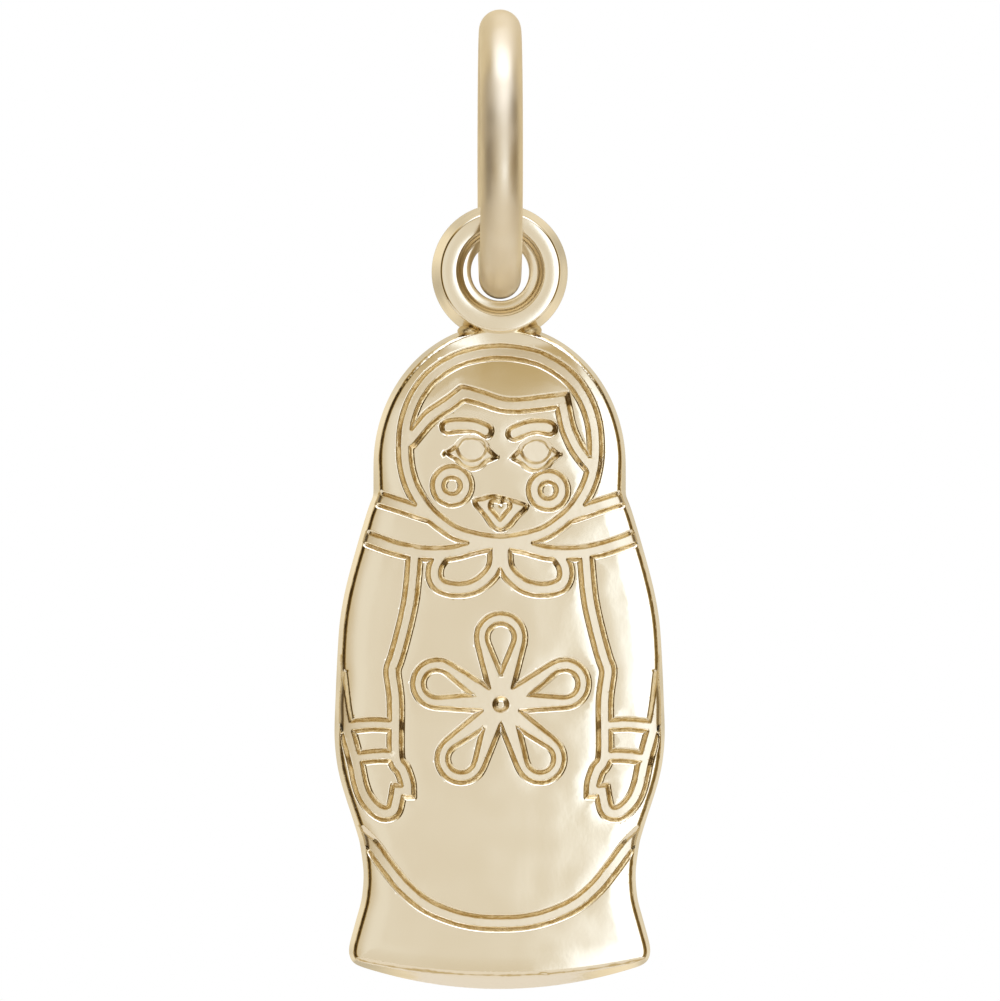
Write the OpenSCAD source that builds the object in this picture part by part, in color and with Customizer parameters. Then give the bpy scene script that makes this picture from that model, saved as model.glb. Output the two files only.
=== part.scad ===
// Matryoshka charm: a flat relief plaque of the doll, a loop soldered on its head and a round wire jump ring.
// Millimetres. Z points up, the doll faces -Y, and the origin is the point where the jump ring hangs.

/* [Doll plaque] */
// Width of the doll across the hips
doll_w = 8; // [6:0.1:11]
// Height of the doll from the foot to the crown
doll_h = 16.1; // [13:0.1:21]
// Thickness of the plaque from the back to the raised fields
plaque_t = 1.2; // [0.8:0.05:1.8]
// How far the front edge lies inside the back edge along the sides
side_draft = 0.18; // [0.1:0.01:0.24]
// How far the front edge lies above the back edge at the middle of the foot
foot_draft = 0.37; // [0.2:0.01:0.5]

/* [Relief] */
// Depth of the sunk lines
line_depth = 0.15; // [0.08:0.01:0.3]
// Width of the sunk lines of the dress and the shawl
line_w = 0.28; // [0.2:0.01:0.32]
// Width of the sunk lines of the cuffs and the flower
fine_line_w = 0.24; // [0.16:0.01:0.28]
// Width of the eyebrows
brow_w = 0.29; // [0.2:0.01:0.34]
// Radius of the eyeballs
eye_r = 0.38; // [0.28:0.01:0.42]
// Half the angle that the root of an eye's corner takes up on the eyeball
eye_corner = 26; // [15:1:38]
// Outer radius of the sunk rings of the cheeks
cheek_r = 0.47; // [0.38:0.01:0.5]
// Radius of the raised dots of the cheeks
cheek_dot_r = 0.21; // [0.12:0.01:0.28]
// Radius of each half of the heart in the mouth
heart_r = 0.14; // [0.1:0.01:0.16]
// Distance from the flower's centre to the round end of a petal
petal_reach = 1.62; // [1.4:0.02:1.7]
// Radius of the round end of a petal
petal_r = 0.34; // [0.25:0.01:0.4]
// Distance from the flower's centre to the point of a petal
petal_start = 0.73; // [0.6:0.01:0.85]
// Radius of the bead at the flower's centre
flower_bead_r = 0.16; // [0.1:0.01:0.22]

/* [Eyelet] */
// Outer diameter of the eyelet at its back
eyelet_d = 3.3; // [2.8:0.1:4]
// Diameter of the hole
eyelet_hole_d = 1.42; // [1.3:0.02:1.7]
// Thickness of the eyelet from the back to the raised ring
eyelet_t = 1.3; // [1:0.05:1.8]
// Height of the raised ring above the floor round the hole
collar_h = 0.3; // [0.2:0.05:0.5]
// Width of the raised ring
collar_w = 0.53; // [0.4:0.01:0.6]
// Edge radius of the raised ring
collar_round = 0.16; // [0.1:0.01:0.19]
// How deep the eyelet sits in the crown of the head
eyelet_sink = 0.39; // [0.3:0.01:0.45]
// Leg of the solder fillets beside the eyelet
solder_leg = 0.3; // [0.2:0.02:0.4]

/* [Jump ring] */
// Outer diameter of the jump ring
ring_d = 7; // [6:0.1:9]
// Diameter of the wire
wire_d = 1.02; // [0.8:0.02:1.1]
// Gap between the wire and the bottom of the eyelet's hole
wire_gap = 0.05; // [0.03:0.01:0.1]

/* [Hidden] */
gold = [0.87, 0.8, 0.62];
solder_gold = [0.72, 0.6, 0.36];
overrun = 0.2;
curve_steps = 4;
round_steps = 12;
fine = 96;
near_share = 0.99;

// Places along Y and Z that the pieces share
eyelet_r = eyelet_d / 2;
ring_in_r = ring_d / 2 - wire_d;
back_y = eyelet_t / 2;
solder_h = plaque_t - line_depth;
hole_z = eyelet_hole_d / 2 - ring_in_r - ring_d / 2 - wire_gap;
eyelet_up = doll_h + eyelet_r - eyelet_sink;
foot_z = hole_z - eyelet_up;

// Right half of the doll's outline, as shares of its width and height
foot_rise_share = 0.034;
foot_half_share = 0.423;
foot_side_shares = [[0.423, 0.034], [0.446, 0.041], [0.456, 0.053], [0.455, 0.065], [0.450, 0.076],
    [0.434, 0.105], [0.418, 0.135], [0.412, 0.165], [0.414, 0.188], [0.424, 0.222]];
hip_shares = [[0.424, 0.222], [0.444, 0.255], [0.464, 0.285], [0.482, 0.315], [0.494, 0.345], [0.500, 0.383],
    [0.497, 0.435], [0.491, 0.503], [0.483, 0.556], [0.465, 0.605], [0.435, 0.661], [0.399, 0.721],
    [0.382, 0.742]];
head_half_share = 0.382;
head_spring_share = 0.788;

// Sunk lines that lie alike on both halves
face_loop_shares = [[0, 0.958], [0.091, 0.952], [0.151, 0.940], [0.208, 0.920], [0.246, 0.896],
    [0.270, 0.871], [0.284, 0.844], [0.288, 0.811], [0.282, 0.781], [0.263, 0.752],
    [0.224, 0.721], [0.178, 0.700], [0.130, 0.685], [0.066, 0.676], [0, 0.672]];
upper_scarf_shares = [[0.218, 0.713], [0.254, 0.719], [0.302, 0.727], [0.366, 0.737]];
lower_scarf_shares = [[0.020, 0.670], [0.076, 0.665], [0.145, 0.656], [0.227, 0.655], [0.290, 0.660],
    [0.347, 0.668], [0.438, 0.685]];
bow_shares = [[0.178, 0.650], [0.195, 0.637], [0.198, 0.620], [0.181, 0.607], [0.136, 0.601], [0.085, 0.604],
    [0.045, 0.616], [0.016, 0.635], [0.012, 0.660]];
arm_shares = [[0.258, 0.653], [0.270, 0.589], [0.292, 0.538], [0.314, 0.498], [0.326, 0.480], [0.320, 0.456],
    [0.315, 0.428], [0.315, 0.350], [0.295, 0.332], [0.281, 0.312], [0.279, 0.299]];
hand_shares = [[0.308, 0.299], [0.313, 0.285], [0.323, 0.269], [0.353, 0.265], [0.384, 0.275], [0.408, 0.291],
    [0.423, 0.312], [0.435, 0.341], [0.453, 0.374], [0.468, 0.402], [0.479, 0.435], [0.487, 0.470],
    [0.498, 0.508]];
cuff_top_shares = [[0.314, 0.397], [0.387, 0.399], [0.459, 0.395]];
cuff_low_shares = [[0.314, 0.351], [0.369, 0.352], [0.435, 0.348]];
hem_shares = [[0, 0.101], [0.076, 0.103], [0.151, 0.112], [0.227, 0.129], [0.290, 0.155], [0.344, 0.188],
    [0.384, 0.215], [0.429, 0.237]];

// Hairline, from the left temple over two corners of the parting to the right temple
hair_left_shares = [[-0.275, 0.823], [-0.218, 0.857], [-0.181, 0.871], [-0.145, 0.883], [-0.112, 0.896]];
hair_top_shares = [[-0.112, 0.896], [-0.060, 0.889], [0, 0.879], [0.051, 0.877], [0.112, 0.880],
    [0.186, 0.885]];
hair_right_shares = [[0.186, 0.885], [0.193, 0.868], [0.205, 0.842], [0.233, 0.812], [0.272, 0.787]];

// Features of the face
left_brow_shares = [[-0.157, 0.845], [-0.133, 0.847], [-0.103, 0.847], [-0.073, 0.845], [-0.045, 0.839]];
right_brow_shares = [[0.042, 0.835], [0.066, 0.840], [0.097, 0.845], [0.127, 0.845], [0.148, 0.843]];
left_eye_shares = [[-0.160, 0.806], [-0.086, 0.806], [-0.012, 0.800]];
right_eye_shares = [[0.036, 0.798], [0.107, 0.803], [0.178, 0.804]];
cheek_shares = [[-0.145, 0.757], [0.145, 0.750]];
mouth_shares = [[-0.077, 0.733], [-0.051, 0.737], [-0.027, 0.741], [0, 0.739], [0.030, 0.735], [0.057, 0.731],
    [0.079, 0.726], [0.051, 0.712], [0.026, 0.697], [0, 0.690], [-0.023, 0.697], [-0.045, 0.713]];
heart_shares = [[0.0145, 0.727], [0, 0.706]];
flower_share = [0.002, 0.429];
petals = 5;

// Points of a table of shares, in millimetres
function at(shares) = [for (s = shares) [s[0] * doll_w, s[1] * doll_h]];
function one_at(share) = [share[0] * doll_w, share[1] * doll_h];

// Smooth curve through points: an open one, and a closed one
function bend(a, b, c, d, t) = let (pull = 2 * a - 5 * b + 4 * c - d, twist = 3 * b - a - 3 * c + d)
    b + t * ((c - a) + t * (pull + t * twist)) / 2;
function open_curve(p) = let (n = len(p) - 1)
    concat([for (i = [0:n - 1], k = [0:curve_steps - 1])
        bend(p[max(i - 1, 0)], p[i], p[i + 1], p[min(i + 2, n)], k / curve_steps)], [p[n]]);
function closed_curve(p) = let (n = len(p))
    [for (i = [0:n - 1], k = [0:curve_steps - 1])
        bend(p[(i + n - 1) % n], p[i], p[(i + 1) % n], p[(i + 2) % n], k / curve_steps)];
function mirrored(p) = [for (i = [len(p) - 1:-1:0]) [-p[i][0], p[i][1]]];
function backwards(p) = [for (i = [len(p) - 1:-1:0]) p[i]];
function but_last(p) = [for (i = [0:len(p) - 2]) p[i]];

// Normal of a corner between two directions, long enough to keep the distance to both sides
function unit(v) = v / norm(v);
function turned(v) = [-v[1], v[0]];
function corner_normal(a, b) = let (m = unit(turned(a) + turned(b))) m / (m * turned(a));
function ahead(p, i) = unit(p[min(i + 1, len(p) - 1)] - p[min(i, len(p) - 2)]);
function behind(p, i) = unit(p[max(i, 1)] - p[max(i - 1, 0)]);
function shifted(p, d) = [for (i = [0:len(p) - 1]) p[i] + d * corner_normal(behind(p, i), ahead(p, i))];
function shifted_loop(p, d) = let (n = len(p))
    [for (i = [0:n - 1])
        p[i] + d * corner_normal(unit(p[i] - p[(i + n - 1) % n]), unit(p[(i + 1) % n] - p[i]))];

// Right half of the plaque's back edge, from the middle of the foot to the crown, and of its front edge
foot_half = foot_half_share * doll_w;
head_half = head_half_share * doll_w;
head_spring = head_spring_share * doll_h;
head_rise = doll_h - head_spring;
function on_head(angle) = [head_half * cos(angle), head_spring + head_rise * sin(angle)];
function on_foot(share) = [share * foot_half, share * share * foot_rise_share * doll_h];
back_half = concat(
    [for (k = [0:round_steps - 1]) on_foot(k / round_steps)],
    open_curve(at(foot_side_shares)),
    [for (p = open_curve(at(hip_shares))) if (p[1] > hip_shares[0][1] * doll_h) p],
    [for (k = [0:2 * round_steps]) on_head(90 * k / (2 * round_steps))]);
function draft(p) = p[1] < foot_rise_share * doll_h
    ? foot_draft + (side_draft - foot_draft) * pow(p[0] / foot_half, 2) : side_draft;
function edge_ahead(i) = i == len(back_half) - 1
    ? reflected(edge_behind(i)) : unit(back_half[i + 1] - back_half[i]);
function edge_behind(i) = i == 0 ? reflected(edge_ahead(i)) : unit(back_half[i] - back_half[i - 1]);
function reflected(v) = [v[0], -v[1]];
front_half = [for (i = [0:len(back_half) - 1])
    back_half[i] + draft(back_half[i]) * corner_normal(edge_behind(i), edge_ahead(i))];

// Turns the drawing plane upright, with heights counted from the plaque's back towards the front
module upright() {
    translate([0, back_y, foot_z])
        rotate([90, 0, 0])
            children();
}

module both_halves() {
    children();
    mirror([1, 0])
        children();
}

// Plate with drafted sides between the outlines of its back and its front
function whole(half) = concat(half, but_ends(mirrored(half)));
module drafted_plate() {
    back = whole(back_half);
    front = whole(front_half);
    n = len(back);
    points = concat([for (p = back) [p[0], p[1], 0]], [for (p = front) [p[0], p[1], plaque_t]]);
    back_face = [for (i = [0:n - 1]) i];
    front_face = [for (i = [n - 1:-1:0]) n + i];
    walls = [for (i = [0:n - 1]) let (j = (i + 1) % n) for (face = [[i, n + i, j], [j, n + i, n + j]]) face];
    polyhedron(points = points, faces = concat([back_face, front_face], walls));
}

// Outline of a sunk line with round ends
function line_outline(path, width) = let (
    left = line_side(path, width / 2),
    right = backwards(line_side(path, -width / 2)))
    concat(left, end_round(last(path), last(left)), right, end_round(path[0], last(right)));
function line_side(path, d) = [for (p = shifted(path, d)) if (apart(p, path) > abs(d) * near_share) p];
function apart(point, path) = min([for (p = path) norm(point - p)]);
function last(p) = p[len(p) - 1];
function end_round(centre, from) = let (arm = from - centre, angle = atan2(arm[1], arm[0]))
    but_ends(arc(centre, norm(arm), angle, angle - 180));
function arc(centre, radius, from, to) = [for (k = [0:round_steps])
    let (angle = from + (to - from) * k / round_steps) centre + radius * [cos(angle), sin(angle)]];
function but_ends(p) = [for (i = [1:len(p) - 2]) p[i]];

module line(path, width) {
    polygon(line_outline(path, width));
}

module loop_line(path, width) {
    difference() {
        polygon(shifted_loop(path, width / 2));
        polygon(shifted_loop(path, -width / 2));
    }
}

// Direction from one point to another, and how far off it a straight side touches a circle
function heading(a, b) = atan2(b[1] - a[1], b[0] - a[0]);
function lean(a, a_r, b, b_r) = acos((a_r - b_r) / norm(b - a));

// Petal that narrows from a round end to a smaller one, or to a point
function petal_outline(a, a_r, b, b_r) = let (way = heading(a, b), side = lean(a, a_r, b, b_r))
    concat(arc(a, a_r, way + side, way + 360 - side), b_r > 0 ? arc(b, b_r, way - side, way + side) : [b]);

module flower_lines() {
    root = [0, fine_line_w];
    start = [0, petal_start];
    end = [0, petal_reach];
    translate(one_at(flower_share))
        difference() {
            for (k = [0:petals - 1])
                rotate(360 * k / petals)
                    polygon(petal_outline(end, petal_r + fine_line_w, root, fine_line_w));
            circle(r = flower_bead_r, $fn = fine);
            for (k = [0:petals - 1])
                rotate(360 * k / petals)
                    polygon(petal_outline(end, petal_r, start, 0));
        }
}

// Round eye drawn out to a corner on each side
module eye_hollow(shares) {
    left = one_at(shares[0]);
    centre = one_at(shares[1]);
    right = one_at(shares[2]);
    left_way = heading(centre, left) % 360;
    right_way = heading(centre, right);
    turn = left_way < 0 ? left_way + 360 : left_way;
    polygon(concat(
        [right],
        arc(centre, eye_r, right_way + eye_corner, turn - eye_corner),
        [left],
        arc(centre, eye_r, turn + eye_corner, right_way + 360 - eye_corner)));
}

// Heart: two round halves that meet in a dip above, and a point below
module heart() {
    centre = one_at(heart_shares[0]);
    tip = one_at(heart_shares[1]);
    dip = sqrt(max(0, heart_r * heart_r - centre[0] * centre[0]));
    foot_angle = heading(centre, tip) + lean(centre, heart_r, tip, 0);
    right_half = arc(centre, heart_r, foot_angle, atan2(dip, -centre[0]));
    polygon(concat([tip], right_half, but_ends(mirrored(concat([tip], right_half)))));
}

module face_lines() {
    for (shares = [left_brow_shares, right_brow_shares])
        line(open_curve(at(shares)), brow_w);
    eye_hollow(left_eye_shares);
    eye_hollow(right_eye_shares);
    for (share = cheek_shares)
        translate(one_at(share))
            difference() {
                circle(r = cheek_r, $fn = fine);
                circle(r = cheek_dot_r, $fn = fine);
            }
    difference() {
        polygon(closed_curve(at(mouth_shares)));
        heart();
    }
}

module dress_lines() {
    for (shares = [upper_scarf_shares, lower_scarf_shares, bow_shares])
        line(open_curve(at(shares)), line_w);
    line(concat(open_curve(at(arm_shares)), open_curve(at(hand_shares))), line_w);
    line(open_curve(at(cuff_top_shares)), fine_line_w);
    line(open_curve(at(cuff_low_shares)), fine_line_w);
}

module sunk_lines() {
    face_loop = concat(but_last(face_loop_shares), but_last(mirrored(face_loop_shares)));
    hair_left = open_curve(at(hair_left_shares));
    hair_top = open_curve(at(hair_top_shares));
    hair_right = open_curve(at(hair_right_shares));
    hem = concat(but_last(mirrored(hem_shares)), hem_shares);
    loop_line(closed_curve(at(face_loop)), line_w);
    line(concat(but_last(hair_left), but_last(hair_top), hair_right), line_w);
    line(open_curve(at(hem)), line_w);
    face_lines();
    both_halves()
        dress_lines();
    flower_lines();
}

// Section of the eyelet from its back outwards: the sloping wall and the two rounded edges of the raised ring
hole_r = eyelet_hole_d / 2;
crest_r = eyelet_r - side_draft;
collar_r = crest_r - collar_w;
function rounded(centre, from) = [for (k = [0:round_steps])
    centre + collar_round * [cos(from + 90 * k / round_steps), sin(from + 90 * k / round_steps)]];
eyelet_wall = concat([[eyelet_r, 0]], rounded([crest_r - collar_round, eyelet_t - collar_round], 0));

module eyelet_blank() {
    translate([0, eyelet_up])
        rotate_extrude($fn = fine)
            polygon(concat([[0, -overrun], [eyelet_r, -overrun]], eyelet_wall, [[0, eyelet_t]]));
}

// Angle of the point on the head's arch that lies a radius away from a centre
function arch_angle(centre, radius, low, high, tries) = let (middle = (low + high) / 2)
    tries == 0 ? middle
        : norm(on_head(middle) - centre) > radius ? arch_angle(centre, radius, middle, high, tries - 1)
        : arch_angle(centre, radius, low, middle, tries - 1);

// Section of the solder that fills the notch between the eyelet and the head on the right-hand side
module solder_section() {
    eyelet_centre = [0, eyelet_up];
    halvings = 40;
    meet_angle = arch_angle(eyelet_centre, eyelet_r, 0, 90, halvings);
    meet = on_head(meet_angle);
    head_end = on_head(arch_angle(meet, solder_leg, 0, meet_angle, halvings));
    swing = solder_leg / eyelet_r * 180 / PI;
    arm = meet - eyelet_centre;
    eyelet_end = eyelet_centre + arm * cos(swing) + turned(arm) * sin(swing);
    face = unit(head_end - eyelet_end);
    root = meet - solder_leg * unit((head_end + eyelet_end) / 2 - meet);
    polygon([eyelet_end - overrun * face, root, head_end + overrun * face]);
}

module solder_seats() {
    translate([0, 0, -overrun])
        linear_extrude(height = solder_h + overrun)
            both_halves()
                solder_section();
}

// Plain plate with the seats of the eyelet and the solder in its crown
module plaque_blank() {
    difference() {
        drafted_plate();
        eyelet_blank();
        solder_seats();
    }
}

module doll_plaque() {
    color(gold)
        upright()
            difference() {
                plaque_blank();
                translate([0, 0, plaque_t - line_depth])
                    linear_extrude(height = line_depth + overrun)
                        sunk_lines();
            }
}

module eyelet() {
    floor_h = eyelet_t - collar_h;
    collar_top = rounded([collar_r + collar_round, eyelet_t - collar_round], 90);
    section = concat([[hole_r, 0]], eyelet_wall, collar_top, [[collar_r, floor_h], [hole_r, floor_h]]);
    color(gold)
        upright()
            difference() {
                translate([0, eyelet_up])
                    rotate_extrude($fn = fine)
                        polygon(section);
                solder_seats();
            }
}

module solder_right() {
    color(solder_gold)
        upright()
            linear_extrude(height = solder_h)
                solder_section();
}

module solder_left() {
    color(solder_gold)
        upright()
            linear_extrude(height = solder_h)
                mirror([1, 0])
                    solder_section();
}

// Closed round wire ring that stands in the plane across the doll
module jump_ring() {
    color(gold)
        translate([0, 0, -ring_in_r])
            rotate([0, 90, 0])
                rotate_extrude($fn = fine)
                    translate([ring_in_r + wire_d / 2, 0])
                        circle(d = wire_d, $fn = fine);
}

doll_plaque();
eyelet();
solder_left();
solder_right();
jump_ring();
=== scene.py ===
"""Gold matryoshka charm: a relief plaque, an eyelet soldered on its head and a jump ring, in a studio."""

import math

import bpy
import numpy as np
from bpy.props import FloatProperty, FloatVectorProperty, PointerProperty
from bpy.types import Operator, Panel, PropertyGroup
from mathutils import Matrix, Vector, kdtree
from mathutils.geometry import delaunay_2d_cdt


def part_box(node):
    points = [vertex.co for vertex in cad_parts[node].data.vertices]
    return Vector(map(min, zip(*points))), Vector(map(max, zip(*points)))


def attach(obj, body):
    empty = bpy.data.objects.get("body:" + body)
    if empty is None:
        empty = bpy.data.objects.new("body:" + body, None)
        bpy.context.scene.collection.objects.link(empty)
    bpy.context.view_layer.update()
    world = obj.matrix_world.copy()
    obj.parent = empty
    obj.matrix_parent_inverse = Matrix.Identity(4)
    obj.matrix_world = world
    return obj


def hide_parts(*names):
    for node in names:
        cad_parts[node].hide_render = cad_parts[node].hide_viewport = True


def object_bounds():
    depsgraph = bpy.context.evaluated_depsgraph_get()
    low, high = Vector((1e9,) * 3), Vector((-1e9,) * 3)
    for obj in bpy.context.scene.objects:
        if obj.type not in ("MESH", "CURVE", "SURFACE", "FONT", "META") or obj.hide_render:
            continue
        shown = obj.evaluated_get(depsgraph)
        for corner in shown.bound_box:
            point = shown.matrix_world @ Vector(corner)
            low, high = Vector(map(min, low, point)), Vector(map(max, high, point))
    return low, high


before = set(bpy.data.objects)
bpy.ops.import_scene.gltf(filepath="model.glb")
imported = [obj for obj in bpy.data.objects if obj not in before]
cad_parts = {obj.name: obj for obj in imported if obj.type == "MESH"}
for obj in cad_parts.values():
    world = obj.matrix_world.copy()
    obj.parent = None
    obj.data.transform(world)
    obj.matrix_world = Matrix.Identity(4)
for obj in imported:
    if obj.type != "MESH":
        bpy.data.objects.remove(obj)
cad_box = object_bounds()

bl_info = {
    "name": "Matryoshka charm",
    "version": (1, 0, 0),
    "blender": (4, 5, 0),
    "location": "View3D > Sidebar > Charm",
    "description": "Builds the looks of a gold matryoshka charm on its jump ring",
    "category": "Object",
}

MM = 0.001

# Spacing of points in millimetres: along curves, rows, the rim and the border, in the grid, and at least
SAMPLE_STEP = 0.008
ROW_STEP = 0.045
RIM_STEP = 0.05
BORDER_STEP = 0.04
GRID_STEP = 0.13
LEAST_GAP = 0.007
SHORT_EDGE = 0.012

# Rows of points: shares of a line's wall, of an iris's edge and of the side's draft, then places in
# millimetres from the rim's edge
LINE_ROWS = (-0.7, -0.2, 0.0, 0.1, 0.2, 0.32, 0.44, 0.56, 0.68, 0.8, 0.9, 1.0, 1.2)
IRIS_ROWS = (0.0, 0.2, 0.4, 0.6, 0.8, 1.0)
SIDE_ROWS = (0.1, 0.4, 0.75, 0.9)
OPEN_SIDE_ROWS = (0.5, 0.56, 0.6, 0.64, 0.68, 0.72, 0.78, 0.83)
EDGE_ROWS = (-0.02, -0.01, 0.0, 0.01, 0.02, 0.035, 0.05, 0.065, 0.08, 0.1, 0.15, 0.24, 0.38)

# Samples beside a corner that get points, turn between the points round it, points round an iris and over the
# crown, and how far in millimetres a row may be off
CORNER_PICKS = (-4, -2, 2, 4)
FAN_STEP = 0.3
IRIS_STEPS = 64
CROWN_STEPS = 60
ROW_SLACK = 0.003

# Smoothing of the lines, the back's border, the rim and its draft in millimetres, reach of a bell curve in
# its own widths, and the turn of a corner
LINE_BELL = 0.04
BORDER_BELL = 0.05
RIM_BELL = 0.04
DRAFT_BELL = 0.25
BELL_REACH = 3
CORNER_TURN = math.radians(75)

# Reach of the eyelet's and the solder's seats in millimetres, and the largest draft, in medians
SEAT_REACH = 0.02
DRAFT_LIMIT = 2.2

# Least part of a normal along Y on a level face, and most on an upright wall
LEVEL_FACE = 0.999
UPRIGHT_WALL = 0.05

# Digits kept of a place in millimetres, distances below which levels, places and mesh points are the same,
# and a guard of divisions
PLACE_DIGITS = 5
SAME_LEVEL = 1e-3
SAME_PLACE = 1e-4
MERGED = 1e-6
TINY = 1e-12

# Sizes and heights in millimetres between which a closed line is an eye
EYE_WIDTH = (1.0, 1.4)
EYE_HEIGHT = (0.55, 0.95)
EYE_LEVEL = (-10.2, -9.2)
IRIS_EDGE = 0.1

# Depth in a sunk line whose painted shade and rougher finish the rounded edge at the rim takes on, and where
# the fall to the rim ends, as a share of its width
EDGE_SHADE_DEPTH = 0.87
EDGE_OVERRUN = 1.4

# Start and end of the hair's tilt, each with its height and softness in millimetres and its sign, and how far
# sideways the tilt reaches
HAIR_TURNS = ((-8.95, 0.65, 1), (-7.2, 0.15, -1))
HAIR_REACH = 2.1


class ReliefSettings(PropertyGroup):
    """Shape of the plaque's front."""

    wall_width: FloatProperty(
        name="Wall width", description="Width of the sloping wall of a sunk line, in mm", default=0.065)
    crest_width: FloatProperty(
        name="Crest width", description="How far a field's edge rounds off, in mm", default=0.095)
    roll_width: FloatProperty(
        name="Roll width", description="How far from the rim the fields start to fall, in mm", default=0.6)
    roll_drop: FloatProperty(
        name="Roll drop", description="How far the fields fall towards the rim, in mm", default=0.06)
    pillow_width: FloatProperty(
        name="Pillow width", description="How far from a sunk line the fields start to fall, in mm",
        default=0.4)
    pillow_slope: FloatProperty(
        name="Pillow slope", description="Slope of the fields where they meet a sunk line", default=0.03)
    top_roll: FloatProperty(
        name="Top roll", description="Share of the fall that is missing at the top of the head", default=0.65)
    edge_width: FloatProperty(
        name="Edge width", description="Width of the rounded edge of the fields at the rim, in mm",
        default=0.08)
    edge_slope: FloatProperty(
        name="Edge slope", description="Slope of the fields' rounded edge at the rim", default=0.9)
    crown: FloatProperty(
        name="Crown", description="Curvature of the plaque from side to side, per mm", default=0.012)
    rim_blend: FloatProperty(
        name="Rim blend", description="Height over which the rim's edge is rounded, in mm", default=0.07)
    back_edge: FloatProperty(
        name="Back edge", description="Bevel round the plaque's back, in mm", default=0.03)
    under_eyelet: FloatProperty(
        name="Under the eyelet", description="How far the crown runs under the eyelet, in mm", default=0.4)
    draft_share: FloatProperty(
        name="Draft share", description="Share of the sides' draft that shows below the rounded rim",
        default=0.65)
    hair_tilt: FloatProperty(
        name="Hair tilt", description="Slope of the hair towards the top of the head", default=0.15)
    iris_radius: FloatProperty(
        name="Iris radius", description="Radius of the round iris in an eye, in mm", default=0.41)
    iris_drop: FloatProperty(
        name="Iris drop", description="Height of the iris's middle below the eye's top, in mm", default=0.21)
    iris_lift: FloatProperty(
        name="Iris lift", description="How far the iris rises, as a share of the line's depth", default=0.5)


class FinishSettings(PropertyGroup):
    """Colours and polish of the metal."""

    gold: FloatVectorProperty(
        name="Gold", description="Colour of the polished gold", subtype="COLOR", size=4,
        default=(0.90, 0.80, 0.60, 1.0))
    solder: FloatVectorProperty(
        name="Solder", description="Colour of the solder", subtype="COLOR", size=4,
        default=(0.78, 0.64, 0.38, 1.0))
    polish: FloatProperty(
        name="Polish", description="Roughness of the polished fields", default=0.11, min=0.0, max=1.0)
    satin: FloatProperty(
        name="Satin", description="Roughness of the ring's wire", default=0.5, min=0.0, max=1.0)
    floor_roughness: FloatProperty(
        name="Floor roughness", description="Roughness of the floors of the sunk lines",
        default=0.3, min=0.0, max=1.0)


class StageSettings(PropertyGroup):
    """Camera and light."""

    camera_distance: FloatProperty(
        name="Camera distance", description="Distance of the camera from the charm",
        default=0.3, unit="LENGTH")
    camera_turn: FloatProperty(
        name="Camera turn", description="How far the camera stands to the left", default=math.radians(0.8),
        subtype="ANGLE")
    view_width: FloatProperty(
        name="View width", description="Width of the picture at the charm", default=0.02417, unit="LENGTH")
    view_height: FloatProperty(
        name="View height", description="Height of the picture's middle", default=-0.01085, unit="LENGTH")
    floor_drop: FloatProperty(
        name="Floor drop", description="How far the floor lies below the charm", default=0.12, unit="LENGTH")


class CharmSettings(PropertyGroup):
    """All settings of the charm."""

    relief: PointerProperty(type=ReliefSettings)
    finish: PointerProperty(type=FinishSettings)
    stage: PointerProperty(type=StageSettings)


# Reading the frame


def cad_triangles(node):
    """Points of a node in millimetres, merged, and its triangles as rows of point numbers."""
    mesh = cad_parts[node].data
    co = np.zeros(len(mesh.vertices) * 3, np.float32)
    mesh.vertices.foreach_get("co", co)
    places = np.round(co.reshape(-1, 3).astype(float) / MM, PLACE_DIGITS)
    points, index = np.unique(places, axis=0, return_inverse=True)
    corners = np.zeros(len(mesh.loops), np.int32)
    mesh.loops.foreach_get("vertex_index", corners)
    triangles = index.reshape(-1)[corners].reshape(-1, 3)
    return points, triangles[(triangles != np.roll(triangles, 1, axis=1)).all(axis=1)]


def point_tree(points):
    """Search tree of flat points."""
    tree = kdtree.KDTree(len(points))
    for number, (x, z) in enumerate(points):
        tree.insert((x, z, 0.0), number)
    tree.balance()
    return tree


def unit(rows):
    """Rows scaled to a length of one."""
    return rows / np.maximum(np.linalg.norm(rows, axis=1, keepdims=True), TINY)


def face_normals(points, triangles):
    """Unit normals of triangles."""
    a, b, c = (points[triangles[:, k]] for k in range(3))
    return unit(np.cross(b - a, c - a))


def sides(triangle):
    """Directed edges of a triangle."""
    a, b, c = triangle
    return (a, b), (b, c), (c, a)


def field_edges(triangles, normals, inside):
    """Directed edges round the marked faces: those at upright walls, and those at the sloping rim."""
    owner = {edge: number for number, triangle in enumerate(triangles) for edge in sides(triangle)}
    upright, sloping = [], []
    for number in np.flatnonzero(inside):
        for edge in sides(triangles[number]):
            other = owner.get((edge[1], edge[0]))
            if other is None or inside[other]:
                continue
            (upright if abs(normals[other][1]) < UPRIGHT_WALL else sloping).append(edge)
    return upright, sloping


def chains(edges):
    """Joins directed edges into paths: lists of (point numbers, closed)."""
    following = {}
    for a, b in edges:
        following.setdefault(a, []).append(b)
    arriving = {b for _, b in edges}
    paths = []
    starts = [a for a in following if a not in arriving] + list(following)
    for start in starts:
        while following.get(start):
            path = [start]
            while following.get(path[-1]):
                path.append(following[path[-1]].pop())
                if path[-1] == start:
                    break
            closed = path[-1] == start
            paths.append((path[:-1] if closed else path, closed))
    return paths


# Curves


def headings(angles):
    """Unit vectors at angles."""
    return np.stack((np.cos(angles), np.sin(angles)), axis=1)


def circle(steps):
    """Unit vectors all round."""
    return headings(np.linspace(0.0, 2 * math.pi, steps, endpoint=False))


def loop_headings(points):
    """Unit vectors along a closed path."""
    return unit(np.roll(points, -1, axis=0) - np.roll(points, 1, axis=0))


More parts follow.
